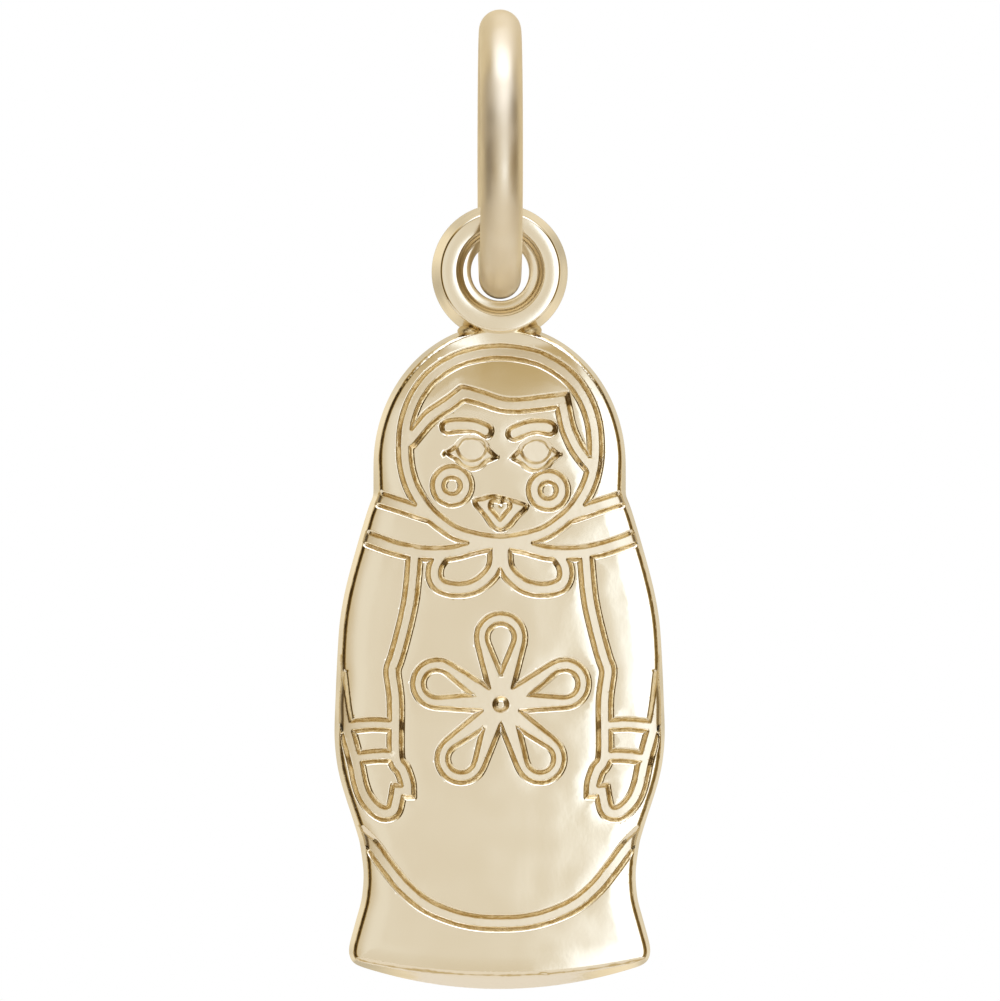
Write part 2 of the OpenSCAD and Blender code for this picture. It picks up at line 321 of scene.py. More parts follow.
def even(points, step):
    """Evenly spaced points along a polyline."""
    lengths = np.linalg.norm(np.diff(points, axis=0), axis=1)
    along = np.concatenate(([0.0], np.cumsum(lengths)))
    count = max(int(round(along[-1] / step)), 2)
    places = np.linspace(0.0, along[-1], count + 1)
    return np.stack([np.interp(places, along, points[:, k]) for k in range(2)], axis=1)


def smoothed(points, closed, sigma):
    """Path smoothed with a bell curve; an open path keeps its ends."""
    reach = min(max(int(math.ceil(BELL_REACH * sigma)), 1), len(points) - 1)
    weights = np.exp(-0.5 * (np.arange(-reach, reach + 1) / sigma) ** 2)
    weights /= weights.sum()
    if closed:
        padded = np.concatenate((points[-reach:], points, points[:reach]))
    else:
        before = 2 * points[0] - points[reach:0:-1]
        after = 2 * points[-1] - points[-2:-reach - 2:-1]
        padded = np.concatenate((before, points, after))
    return np.stack([np.convolve(padded[:, k], weights, "valid") for k in range(points.shape[1])], axis=1)


def wrapped(angle):
    """Angle between minus and plus half a turn."""
    return (angle + math.pi) % (2 * math.pi) - math.pi


def turns(points, closed):
    """Turning angle at each point of a path."""
    steps = np.roll(points, -1, axis=0) - points
    heading = np.arctan2(steps[:, 1], steps[:, 0])
    turn = wrapped(heading - np.roll(heading, 1))
    if not closed:
        turn[0] = turn[-1] = 0.0
    return turn


def merge_short(points, least):
    """Path without points that follow the last one too closely."""
    kept = [points[0]]
    for point in points[1:]:
        if np.linalg.norm(point - kept[-1]) > least:
            kept.append(point)
    return np.array(kept)


def smooth_stretches(points, closed, sigma):
    """Smooth, evenly sampled stretches of a path between its sharp corners, each with a closed flag."""
    points = merge_short(points, SHORT_EDGE)
    if closed and np.linalg.norm(points[0] - points[-1]) < SHORT_EDGE:
        points = points[:-1]
    sharp = np.flatnonzero(np.abs(turns(points, closed)) > CORNER_TURN)
    bell = sigma / SAMPLE_STEP
    if closed and len(sharp) == 0:
        ring = even(np.concatenate((points, points[:1])), SAMPLE_STEP)[:-1]
        return [(smoothed(ring, True, bell), True)]
    if closed:
        points = np.roll(points, -sharp[0], axis=0)
        points = np.concatenate((points, points[:1]))
        cuts = [*(sharp - sharp[0]), len(points) - 1]
    else:
        cuts = [0, *sharp, len(points) - 1]
    stretches = [even(points[a:b + 1], SAMPLE_STEP) for a, b in zip(cuts, cuts[1:]) if b > a]
    return [(smoothed(stretch, False, bell), False) for stretch in stretches]


class Outline:
    """Sampled curves with a signed distance: positive on the left of their direction."""

    def __init__(self, stretches):
        places, normals, corners = [], [], []
        for points, closed in stretches:
            along = loop_headings(points) if closed else unit(np.gradient(points, axis=0))
            places.append(points)
            normals.append(np.stack((-along[:, 1], along[:, 0]), axis=1))
            ends = np.zeros(len(points), bool)
            ends[[0, -1]] = not closed
            corners.append(ends)
        self.places = np.concatenate(places)
        self.normals = np.concatenate(normals)
        self.ends = np.concatenate(corners)
        self.join_corners()
        self.tree = point_tree(self.places)

    def join_corners(self):
        """Gives the two ends that meet at a corner their common normal, and keeps the fan between them."""
        self.fans = []
        numbers = np.flatnonzero(self.ends)
        tree = point_tree(self.places[numbers])
        seen = set()
        for number in numbers:
            around = tree.find_range((*self.places[number], 0.0), SAME_PLACE)
            near = [numbers[k] for _, k, _ in around if numbers[k] != number]
            if not near or number in seen:
                continue
            other = near[0]
            seen.update((number, other))
            pair = self.normals[[number, other]]
            start, end = np.arctan2(pair[:, 1], pair[:, 0])
            self.fans.append((self.places[number], start, wrapped(end - start)))
            common = pair.sum(0)
            size = np.linalg.norm(common)
            if size > TINY:
                self.normals[[number, other]] = common / size

    def distance(self, points):
        """Signed distances of points, their gradients, and the nearest samples."""
        near = np.array([self.tree.find((x, z, 0.0))[1] for x, z in points], int)
        gap = points - self.places[near]
        normal = self.normals[near]
        tangent = np.stack((normal[:, 1], -normal[:, 0]), axis=1)
        along = np.clip((gap * tangent).sum(1), -SAMPLE_STEP / 2, SAMPLE_STEP / 2)
        along[self.ends[near]] = 0.0
        gap = gap - along[:, None] * tangent
        size = np.linalg.norm(gap, axis=1)
        side = np.where((gap * normal).sum(1) < 0, -1.0, 1.0)
        away = gap * side[:, None] / np.maximum(size, TINY)[:, None]
        away = np.where(size[:, None] > SAME_PLACE, away, normal)
        return side * size, away, near

    def rows(self, offsets, step):
        """Points at given signed offsets, with fans round the corners."""
        every = max(int(round(step / SAMPLE_STEP)), 1)
        picked = np.arange(0, len(self.places), every)
        corners = np.flatnonzero(self.ends)
        picked = np.unique(np.concatenate([picked] + [corners + shift for shift in CORNER_PICKS]))
        picked = picked[(picked >= 0) & (picked < len(self.places))]
        picked = picked[~self.ends[picked]]
        found = []
        for offset in offsets:
            places = [self.places[picked] + offset * self.normals[picked]]
            for place, start, sweep in self.fans:
                if sweep * offset < 0:
                    angles = start + sweep * np.linspace(0.0, 1.0, max(int(abs(sweep) / FAN_STEP), 2) + 1)
                    places.append(place + offset * headings(angles))
                elif offset == 0:
                    places.append(place[None, :])
            places = np.concatenate(places)
            real = self.distance(places)[0]
            found.append(places[np.abs(real - offset) < ROW_SLACK])
        return np.concatenate(found)


# Plaque


def eased(t):
    """Soft step from 0 to 1, and its slope."""
    return t * t * (3 - 2 * t), 6 * t * (1 - t)


def eyelet_circle():
    """Middle of the eyelet in X and Z, and its radius, in millimetres."""
    low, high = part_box("eyelet")
    return np.array((low.x + high.x, low.z + high.z)) / 2 / MM, (high.x - low.x) / 2 / MM


class PlaqueForm:
    """Outlines and heights of the plaque, worked out from its CAD solid."""

    def __init__(self, relief):
        self.relief = relief
        points, triangles = cad_triangles("doll_plaque")
        normals = face_normals(points, triangles)
        level = points[triangles][:, :, 1].mean(1)
        facing = normals[:, 1] < -LEVEL_FACE
        front, self.back = points[:, 1].min(), points[:, 1].max()
        fields = facing & (np.abs(level - front) < SAME_LEVEL)
        self.depth = float(np.median(level[facing & ~fields])) - front
        self.thickness = self.back - front
        flat = points[:, (0, 2)]
        upright, sloping = field_edges(triangles, normals, fields)
        stretches = []
        self.irises = []
        for path, closed in chains(upright):
            stretches += smooth_stretches(flat[path], closed, LINE_BELL)
            low, high = flat[path].min(0), flat[path].max(0)
            middle, size = (low + high) / 2, high - low
            sized = EYE_WIDTH[0] < size[0] < EYE_WIDTH[1] and EYE_HEIGHT[0] < size[1] < EYE_HEIGHT[1]
            if closed and sized and EYE_LEVEL[0] < middle[1] < EYE_LEVEL[1]:
                self.irises.append(np.array((middle[0], high[1] - relief.iris_drop)))
        self.lines = Outline(stretches)
        self.read_rim(flat, triangles, normals, sloping)

    def read_rim(self, flat, triangles, normals, sloping):
        """Outline of the back, without the seats of the eyelet and the solder, and its draft all round."""
        upright, others = field_edges(triangles, normals, normals[:, 1] > LEVEL_FACE)
        loops = [flat[path][::-1] for path, closed in chains(upright + others) if closed]
        self.border = max(loops, key=len)
        self.eyelet_centre, self.eyelet_radius = eyelet_circle()
        whole = np.concatenate([points for points, _ in smooth_stretches(self.border, True, BORDER_BELL)])
        whole = np.roll(whole, -np.flatnonzero(self.at_seat(whole))[0], axis=0)
        free = smoothed(whole[~self.at_seat(whole)], False, RIM_BELL / SAMPLE_STEP)
        self.rim = Outline([(np.concatenate((free, self.crown_arc(free[-1], free[0]))), True)])
        tree = point_tree([(flat[a] + flat[b]) / 2 for a, b in sloping])
        draft = np.array([tree.find((x, z, 0.0))[2] for x, z in self.rim.places])
        draft = np.where(draft > np.median(draft) * DRAFT_LIMIT, np.median(draft), draft)
        share = self.relief.draft_share
        share = share + (1 - share) * np.clip(self.rim.normals[:, 1], 0.0, 1.0) ** 2
        self.draft = smoothed(draft[:, None], True, DRAFT_BELL / SAMPLE_STEP)[:, 0] * share

    def crown_arc(self, start, end):
        """Path over the crown of the head, under the eyelet, from one point to another."""
        rise = self.eyelet_centre[1] - self.eyelet_radius + self.relief.under_eyelet - (start[1] + end[1]) / 2
        share = np.linspace(0.0, 1.0, CROWN_STEPS)[:, None]
        path = start + (end - start) * share
        path[:, 1] += rise * 4 * share[:, 0] * (1 - share[:, 0])
        return even(path, SAMPLE_STEP)[1:-1]

    def at_seat(self, points):
        """Which points of the back's outline lie on the seats of the eyelet and the solder."""
        seated = np.linalg.norm(points - self.eyelet_centre, axis=1) < self.eyelet_radius + SEAT_REACH
        for node in ("solder_left", "solder_right"):
            low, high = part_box(node)
            inside = (points[:, 0] > low.x / MM - SEAT_REACH) & (points[:, 0] < high.x / MM + SEAT_REACH)
            seated |= inside & (points[:, 1] > low.z / MM - SEAT_REACH)
        return seated

    def hair(self, points):
        """How far the middle of the hair falls away towards the top of the head, and its gradient."""
        fall, slope = np.zeros((2, len(points)))
        for level, ease, sign in HAIR_TURNS:
            over = np.clip((points[:, 1] - level) / ease, 0.0, None)
            part = np.minimum(over, 1.0)
            fall += sign * ease * (part ** 2 / 2 + over - part)
            slope += sign * part
        spread = np.exp(-(points[:, 0] / HAIR_REACH) ** 2)
        tilt = self.relief.hair_tilt
        way = np.stack((-2 * points[:, 0] / HAIR_REACH ** 2 * fall * spread, slope * spread), axis=1)
        return tilt * fall * spread, tilt * way

    def iris(self, points):
        """Share of a line's depth by which the irises rise, and its gradient."""
        relief = self.relief
        lift = np.zeros(len(points))
        way = np.zeros((len(points), 2))
        for middle in self.irises:
            gap = points - middle
            away = np.linalg.norm(gap, axis=1)
            step, slope = eased(np.clip((relief.iris_radius - away) / IRIS_EDGE, 0.0, 1.0))
            lift += relief.iris_lift * step
            way -= (relief.iris_lift * slope / IRIS_EDGE)[:, None] * unit(gap)
        return lift, way

    def heights(self, points):
        """Height of the front above the back, its gradient, and how deep each point lies in a sunk line,
        raised along the rim's rounded edge; this depth sets the painted shade and the rougher finish.
        """
        relief = self.relief
        sunk, sunk_way, _ = self.lines.distance(points)
        inset, inset_way, near = self.rim.distance(points)
        draft = self.draft[near]
        span = relief.wall_width + relief.crest_width
        step, slope = eased(np.clip((relief.crest_width - sunk) / span, 0.0, 1.0))
        within = inset - draft
        share = np.clip(1 - within / relief.roll_width, 0.0, EDGE_OVERRUN)
        roll = relief.roll_drop * (1 - relief.top_roll * np.clip(-inset_way[:, 1], 0.0, 1.0) ** 2)
        edge = np.clip(1 - within / relief.edge_width, 0.0, EDGE_OVERRUN)
        edge_drop = relief.edge_slope * relief.edge_width / 2
        pillow = np.clip(1 - np.maximum(sunk, 0.0) / relief.pillow_width, 0.0, 1.0)
        pillow_drop = relief.pillow_slope * relief.pillow_width / 2
        lift, lift_way = self.iris(points)
        top = self.thickness - self.depth * step * (1 - lift) - roll * share ** 2 - edge_drop * edge ** 2
        top -= pillow_drop * pillow ** 2
        top -= relief.crown * points[:, 0] ** 2 / 2
        drop, drop_way = self.hair(points)
        top -= drop
        top_way = self.depth * (slope / span * (1 - lift))[:, None] * sunk_way
        top_way += self.depth * step[:, None] * lift_way
        top_way += (2 * roll * share / relief.roll_width + relief.edge_slope * edge)[:, None] * inset_way
        top_way += (relief.pillow_slope * pillow * (sunk > 0))[:, None] * sunk_way
        top_way[:, 0] -= relief.crown * points[:, 0]
        top_way -= drop_way
        wall = self.thickness * inset / draft
        wall_way = (self.thickness / draft)[:, None] * inset_way
        blend = np.clip(0.5 + 0.5 * (top - wall) / relief.rim_blend, 0.0, 1.0)
        height = top + (wall - top) * blend - relief.rim_blend * blend * (1 - blend)
        way = wall_way * blend[:, None] + top_way * (1 - blend[:, None])
        # Painted shade along the rim's rounded edge: it gets the depth, and so the brown, of a wall's foot
        tone = np.maximum(step, EDGE_SHADE_DEPTH * np.minimum(edge, 1.0)) * (1 - blend)
        return np.maximum(height, relief.back_edge), way, tone

    def points(self):
        """Points of the front: rows along the sunk lines and the rim, and a grid between them."""
        relief = self.relief
        span = relief.wall_width + relief.crest_width
        found = [self.lines.rows(relief.crest_width - span * np.array(LINE_ROWS), ROW_STEP)]
        found += [
            middle + (relief.iris_radius - share * IRIS_EDGE) * circle(IRIS_STEPS)
            for middle in self.irises for share in IRIS_ROWS]
        every = int(round(RIM_STEP / SAMPLE_STEP))
        base = self.rim.places[::every]
        normal = self.rim.normals[::every]
        draft = self.draft[::every, None]
        found += [base + share * draft * normal for share in SIDE_ROWS]
        open_side = self.lines.distance(base + draft * normal)[0] < relief.crest_width
        found += [(base + share * draft * normal)[open_side] for share in OPEN_SIDE_ROWS]
        found += [base + (draft + more) * normal for more in EDGE_ROWS]
        low, high = self.border.min(0), self.border.max(0)
        rows = np.arange(low[1], high[1], GRID_STEP * math.sqrt(3) / 2)
        for number, z in enumerate(rows):
            x = np.arange(low[0] + (number % 2) * GRID_STEP / 2, high[0], GRID_STEP)
            found.append(np.stack((x, np.full_like(x, z)), axis=1))
        found = np.concatenate(found)
        inset = self.rim.distance(found)[0]
        return thinned(found[inset > SHORT_EDGE], LEAST_GAP)


def thinned(points, gap):
    """Points of which no two lie closer than a gap; earlier ones stay."""
    tree = point_tree(points)
    kept = np.ones(len(points), bool)
    for number, (x, z) in enumerate(points):
        if kept[number]:
            for _, other, _ in tree.find_range((x, z, 0.0), gap):
                if other > number:
                    kept[other] = False
    return points[kept]


def filled(points, count):
    """Fills the loop of the first points with triangles through all the points."""
    loop = [(k, (k + 1) % count) for k in range(count)]
    return delaunay_2d_cdt([Vector(p) for p in points], loop, [list(range(count))], 1, MERGED)


def wound(flat, triangles, sign):
    """Triangles that all run the same way round."""
    a, b, c = (flat[triangles[:, k]] for k in range(3))
    area = (b[:, 0] - a[:, 0]) * (c[:, 1] - a[:, 1]) - (b[:, 1] - a[:, 1]) * (c[:, 0] - a[:, 0])
    return np.where((sign * area < 0)[:, None], triangles[:, ::-1], triangles)


def raised(flat, level):
    """Rows in X and Z with their place along Y put between."""
    return np.stack((flat[:, 0], np.broadcast_to(level, len(flat)), flat[:, 1]), axis=1)


def make_plaque(form):
    """Mesh of the plaque: the relief in front, a bevelled edge and a flat back."""
    border = merge_short(form.rim.places[::int(round(BORDER_STEP / SAMPLE_STEP))], SHORT_EDGE)
    inner = form.points()
    tree = point_tree(border)
    clear = [k for k in range(len(inner)) if tree.find((*inner[k], 0.0))[2] > SHORT_EDGE]
    result = filled(np.concatenate((border, inner[clear])), len(border))
    places = np.array([(v.x, v.y) for v in result[0]])
    height, way, step = form.heights(places)
    triangles = wound(places, np.array([list(f) for f in result[2]], int), 1)
    front = raised(places, form.back - height)
    return close_back(form, front, unit(raised(-way, -1.0)), triangles, step)


# How far the bevel's normals lean towards the back
BACK_LEAN = 0.3


def close_back(form, front, normal, triangles, step):
    """Adds the bevel and the flat back to the front, and sets the normals of each corner."""
    used = dict.fromkeys(edge for triangle in triangles.tolist() for edge in sides(triangle))
    rim = [edge for edge in used if (edge[1], edge[0]) not in used]
    path, _ = max(chains(rim), key=lambda found: len(found[0]))
    path = np.array(path)
    outline = front[path][:, (0, 2)]
    ahead = loop_headings(outline)
    aside = np.stack((ahead[:, 1], -ahead[:, 0]), axis=1)
    first, count = len(front), len(path)
    low = raised(outline, form.back)
    ring = np.arange(first, first + count)
    after = np.roll(np.arange(count), -1)
    band = np.concatenate((
        np.stack((path, ring, path[after]), axis=1),
        np.stack((path[after], ring, ring[after]), axis=1)))
    back = filled(outline, count)
    cap = wound(outline, np.array([[back[3][k][0] for k in face] for face in back[2]], int), -1)
    points = np.concatenate((front, low))
    faces = np.concatenate((triangles, band, cap + first))
    outward = unit(raised(aside, BACK_LEAN))
    on_edge = np.zeros((len(points), 3))
    on_edge[path] = on_edge[first:] = outward
    behind = np.broadcast_to((0.0, 1.0, 0.0), (len(cap), 3, 3))
    corner = np.concatenate((normal[triangles], on_edge[band], behind))
    depth = np.concatenate((step, np.zeros(count)))
    return points * MM, faces, corner, depth


def placed(name, data):
    """Object in the scene that shows a mesh or a camera."""
    obj = bpy.data.objects.new(name, data)
    bpy.context.scene.collection.objects.link(obj)
    return obj


def mesh_object(name, points, faces, corner_normals=None):
    """Object made of points in metres and faces, smooth shaded."""
    mesh = bpy.data.meshes.new(name)
    mesh.from_pydata([tuple(p) for p in points], [], [tuple(int(k) for k in f) for f in faces])
    mesh.shade_smooth()
    if corner_normals is not None:
        mesh.normals_split_custom_set([tuple(n) for n in corner_normals.reshape(-1, 3)])
    return placed(name, mesh)


# Materials


class Shading:
    """Node tree of a material or of the world, with short ways to add nodes."""

    def __init__(self, owner):
        owner.use_nodes = True
        self.nodes = owner.node_tree.nodes
        self.link = owner.node_tree.links.new

    def give(self, node, inputs):
        """Gives a node its inputs: fixed values, or outputs of other nodes."""
        for name, value in inputs.items():
            if isinstance(value, bpy.types.NodeSocket):
                self.link(value, node.inputs[name])
            else:
                node.inputs[name].default_value = value

    def add(self, kind, inputs=None, **options):
        """New node with its options and inputs."""
        node = self.nodes.new("ShaderNode" + kind)
        for name, value in options.items():
            setattr(node, name, value)
        self.give(node, inputs or {})
        return node

    def math(self, operation, *values):
        """Result of a sum on two values."""
        return self.add("Math", dict(enumerate(values)), operation=operation).outputs["Value"]

    def noise(self, way, scale, detail):
        """Soft noise over coordinates."""
        return self.add("TexNoise", {"Vector": way, "Scale": scale, "Detail": detail}).outputs["Fac"]

    def bump(self, height, distance, strength):
        """Node that turns heights into bumps, with its distance in millimetres."""
        return self.add("Bump", {"Height": height, "Distance": distance * MM, "Strength": strength})

    def carried(self, value, start, end, first=0.0, last=1.0, **options):
        """Value carried from one range to another."""
        inputs = {"Value": value, "From Min": start, "From Max": end, "To Min": first, "To Max": last}
        return self.add("MapRange", inputs, **options).outputs["Result"]

    def mixed(self, factor, first, second):
        """Colour between two; a mix node's colours are its inputs 6 and 7 and its output 2."""
        return self.add("Mix", {0: factor, 6: first, 7: second}, data_type="RGBA").outputs[2]

    def colours(self, value, stops):
        """Colour read off a row of (place, colour) stops."""
        node = self.add("ValToRGB", {"Fac": value})
        elements = node.color_ramp.elements
        while len(elements) < len(stops):
            elements.new(0.5)
        for element, (place, colour) in zip(elements, stops):
            element.position = place
            element.color = colour
        return node.outputs["Color"]

    def by_depth(self, depth, stops, first, second):
        """Mix of two colours that follows the depth in a sunk line, by (depth, share of the second) stops."""
        tones = [(place, [a + (b - a) * share for a, b in zip(first, second)]) for place, share in stops]
        return self.colours(depth, tones)

    def levels(self, value, stops):
        """Number read off a row of (place from -1 to 1, level) stops."""
        top = max(level for _, level in stops)
        node = self.add("FloatCurve", {"Value": self.carried(value, -1.0, 1.0)})
        points = node.mapping.curves[0].points
        while len(points) < len(stops):
            points.new(0.5, 0.5)
        for point, (place, level) in zip(points, stops):
            point.location = ((place + 1) / 2, level / top)
            point.handle_type = "AUTO_CLAMPED"
        node.mapping.update()
        return self.math("MULTIPLY", node.outputs["Value"], top)


# Painted shade at the foot of a sunk line's wall and along the rim's rounded edge: its brown, and its share
# by depth
WALL_SHADE_BROWN = (0.62, 0.47, 0.23, 1.0)
WALL_SHADE_STOPS = ((0.0, 0.0), (0.6, 0.0), (0.84, 1.0), (0.96, 1.0), (1.0, 0.15))

# Ragged edge of the painted shade along the walls of the sunk lines: scale, detail and middle of its noise,
# and strength
SHADE_EDGE_NOISE = (3000.0, 2.0)
SHADE_EDGE_MIDDLE = 0.5
SHADE_EDGE_SHIFT = 7.0

# Polishing marks: scale, detail and range of their noise, range of the roughness as shares of the polish, and
# height in millimetres and strength of their waves
WEAR_NOISE = (900.0, 1.0)
WEAR_RANGE = (0.35, 0.7)
POLISH_RANGE = (0.8, 1.3)
WAVE_HEIGHT = 0.03
WAVE_STRENGTH = 0.35

# Cast grain: scale and detail of its noise, height in millimetres, and how fast the floor's finish sets in
GRAIN_NOISE = (9000.0, 3.0)
GRAIN_HEIGHT = 0.025
FLOOR_POWER = 4.0

# Strength of the cast grain on the polished fields and on the walls of the sunk lines
SMOOTH = (0.02, 0.02, 0.02, 1.0)
ROUGH = (0.45, 0.45, 0.45, 1.0)
GRAIN_STOPS = ((0.0, 0.0), (0.25, 1.0), (0.9, 1.0), (1.0, 0.15))


def ragged_shade_depth(tree, depth, way):
    """Depth in a sunk line for the painted shade, shifted to and fro along its walls and left alone on the
    fields and floors.
    """
    shift = tree.math("SUBTRACT", tree.noise(way, *SHADE_EDGE_NOISE), SHADE_EDGE_MIDDLE)
    wall = tree.math("MULTIPLY", depth, tree.math("SUBTRACT", 1.0, depth))
    change = tree.math("MULTIPLY", tree.math("MULTIPLY", shift, wall), SHADE_EDGE_SHIFT)
    return tree.math("ADD", depth, change)


def gold_material(name, colour, polish, rough_and_shaded_places=None, floor_roughness=None):
    """Polished gold with faint polishing marks; a point attribute marks where it is left rougher and where
    shade is painted on it in brown.
    """
    material = bpy.data.materials.new(name)
    tree = Shading(material)
    shader = tree.nodes["Principled BSDF"]
    tree.give(shader, {"Base Color": colour, "Metallic": 1.0})
    way = tree.add("TexCoord").outputs["Object"]
    wear = tree.noise(way, *WEAR_NOISE)
    roughness = tree.carried(wear, *WEAR_RANGE, *(polish * share for share in POLISH_RANGE))
    wave = tree.bump(wear, WAVE_HEIGHT, WAVE_STRENGTH)
    bump = tree.bump(tree.noise(way, *GRAIN_NOISE), GRAIN_HEIGHT, SMOOTH[0])
    tree.give(bump, {"Normal": wave.outputs["Normal"]})
    if rough_and_shaded_places:
        depth = tree.add("Attribute", attribute_name=rough_and_shaded_places).outputs["Fac"]
        deep = tree.math("POWER", depth, FLOOR_POWER)
        roughness = tree.add("Mix", {0: deep, 2: roughness, 3: floor_roughness}).outputs[0]
        tree.give(bump, {"Strength": tree.by_depth(depth, GRAIN_STOPS, SMOOTH, ROUGH)})
        # Painted shade: the gold turns brown at the foot of the sunk lines' walls and along the rim's rounded
        # edge, with a ragged edge
        shade_depth = ragged_shade_depth(tree, depth, way)
        tree.give(shader, {"Base Color": tree.by_depth(shade_depth, WALL_SHADE_STOPS, colour, WALL_SHADE_BROWN)})
    tree.give(shader, {"Roughness": roughness, "Normal": bump.outputs["Normal"]})
    return material


# Eyelet, solder and ring

# Sizes of the eyelet's section in millimetres: draft of the outer wall, inner radius of the raised ring and
# slope of its inner wall, fall to the floor, radii and bevels of the edges
EYELET_DRAFT = 0.19
EYELET_COLLAR = 0.95
COLLAR_SLOPE = 0.05
EYELET_FLOOR = 0.3
OUTER_ROUND = 0.07
INNER_ROUND = 0.1
ROOT_ROUND = 0.07
EYELET_LIP = 0.03

# Angles in degrees between which the edges are rounded, shares of the straight stretches that get points, and
# steps of an arc and of the whole turn
OUTER_ARC = (10, 84)
INNER_ARC = (94, 168)
ROOT_ARC = (-12, -88)
BACK_SHARES = (0.03, 0.5, 0.97)
SIDE_SHARES = (0.04, 0.5, 0.95)
HOLE_SHARES = (0.04, 0.96)
ARC_STEPS = 10
EYELET_STEPS = 192

# How far the eyelet's back stands behind the plaque's, in millimetres
BACK_STEP = 0.006


def eyelet_section(half, hole, low, high):
    """Points of the eyelet's section, from the back of the hole outwards: (radius, height)."""
    floor = high - EYELET_FLOOR
    lip = EYELET_LIP
    inner = EYELET_COLLAR + COLLAR_SLOPE + INNER_ROUND
    outer = arc_points(half - EYELET_DRAFT - OUTER_ROUND, high - OUTER_ROUND, OUTER_ROUND, OUTER_ARC)
    points = [(hole + lip, low)]
    points += between(points[0], (half - lip, low), BACK_SHARES) + [(half - lip, low), (half, low + lip)]
    points += between(points[-1], outer[0], SIDE_SHARES) + outer
    points += arc_points(inner, high - INNER_ROUND, INNER_ROUND, INNER_ARC)
    points += arc_points(EYELET_COLLAR - ROOT_ROUND, floor + ROOT_ROUND, ROOT_ROUND, ROOT_ARC)
    points += [(hole + lip, floor), (hole + lip / 4, floor - lip / 3), (hole, floor - lip)]
    points += between(points[-1], (hole, low + lip), HOLE_SHARES) + [(hole, low + lip)]
    return np.array(points)


def between(start, end, shares):
    """Points at shares of the way from one point to another."""
    return [(start[0] + (end[0] - start[0]) * s, start[1] + (end[1] - start[1]) * s) for s in shares]


def arc_points(across, up, radius, arc):
    """Points of an arc round a middle, between two angles in degrees."""
    angles = np.radians(np.linspace(*arc, ARC_STEPS + 1))
    return [(across + radius * x, up + radius * y) for x, y in headings(angles)]


def revolve(section, steps, centre, back):
    """Points and faces of a closed section turned about an axis along Y, in millimetres."""
    points = np.array([
        (centre[0] + r * x, back - h, centre[1] + r * z) for x, z in circle(steps) for r, h in section])
    size = len(section)
    faces = []
    for i in range(steps):
        here, after = i * size, (i + 1) % steps * size
        for k in range(size):
            j = (k + 1) % size
            faces.append((here + k, here + j, after + j, after + k))
    return points, faces


# Solder: faces round and up a bead, number, closeness and height of its waves, roughness, then in millimetres
# how far its middle lies inwards and down in its notch, and its radii across and up
BEAD_STEPS = (28, 18)
BEAD_WAVES = 7
WAVE_CLOSENESS = 2.2
WAVE_SHARE = 0.025
SOLDER_POLISH = 0.4
SOLDER_SHIFT = (0.14, 0.06)
SOLDER_RADII = (0.28, 0.16)


def lump(centre, radii, seed):
    """Points and faces of a small uneven blob, in millimetres."""
    across, up = BEAD_STEPS
    rng = np.random.default_rng(seed)
    waves = rng.normal(size=(BEAD_WAVES, 3)) * WAVE_CLOSENESS
    phases = rng.uniform(0, 2 * math.pi, BEAD_WAVES)
    points = []
    for j in range(up + 1):
        tilt = math.pi * j / up
        for i in range(across):
            turn = 2 * math.pi * i / across
            flat = math.sin(tilt)
            way = np.array((flat * math.cos(turn), flat * math.sin(turn), math.cos(tilt)))
            swell = 1 + WAVE_SHARE * np.sin(waves @ way + phases).sum()
            points.append(np.asarray(centre) + np.asarray(radii) * way * swell)
    faces = []
    for j in range(up):
        for i in range(across):
            a, b = j * across + i, j * across + (i + 1) % across
            faces.append((a, a + across, b + across, b))
    return np.array(points), faces


# Faces round the ring and round its wire
RING_STEPS = 256
WIRE_STEPS = 72


def ring_tree():
    """Node tree of a wire ring in the YZ plane with named sizes."""
    tree = bpy.data.node_groups.new("wire_ring", "GeometryNodeTree")
    tree.interface.new_socket("Geometry", in_out="OUTPUT", socket_type="NodeSocketGeometry")
    for name in ("Ring Radius", "Wire Radius", "Drop"):
        tree.interface.new_socket(name, in_out="INPUT", socket_type="NodeSocketFloat")
    tree.interface.new_socket("Material", in_out="INPUT", socket_type="NodeSocketMaterial")
    nodes, links = tree.nodes, tree.links
    sizes = nodes.new("NodeGroupInput")
    circles = []
    for name, steps in (("Ring Radius", RING_STEPS), ("Wire Radius", WIRE_STEPS)):
        circles.append(nodes.new("GeometryNodeCurvePrimitiveCircle"))
        circles[-1].inputs["Resolution"].default_value = steps
        links.new(sizes.outputs[name], circles[-1].inputs["Radius"])
    sweep = nodes.new("GeometryNodeCurveToMesh")
    for circle, name in zip(circles, ("Curve", "Profile Curve")):
        links.new(circle.outputs["Curve"], sweep.inputs[name])
    down = nodes.new("ShaderNodeCombineXYZ")
    links.new(sizes.outputs["Drop"], down.inputs["Z"])
    chain = [nodes.new(kind) for kind in (
        "GeometryNodeTransform", "GeometryNodeSetShadeSmooth", "GeometryNodeRealizeInstances",
        "GeometryNodeSetMaterial", "NodeGroupOutput")]
    stand, dress = chain[0], chain[3]
    links.new(sweep.outputs["Mesh"], stand.inputs["Geometry"])
    for node, after in zip(chain, chain[1:]):
        links.new(node.outputs["Geometry"], after.inputs["Geometry"])
    stand.inputs["Rotation"].default_value = (0.0, math.pi / 2, 0.0)
    links.new(down.outputs["Vector"], stand.inputs["Translation"])
    links.new(sizes.outputs["Material"], dress.inputs["Material"])
    return tree


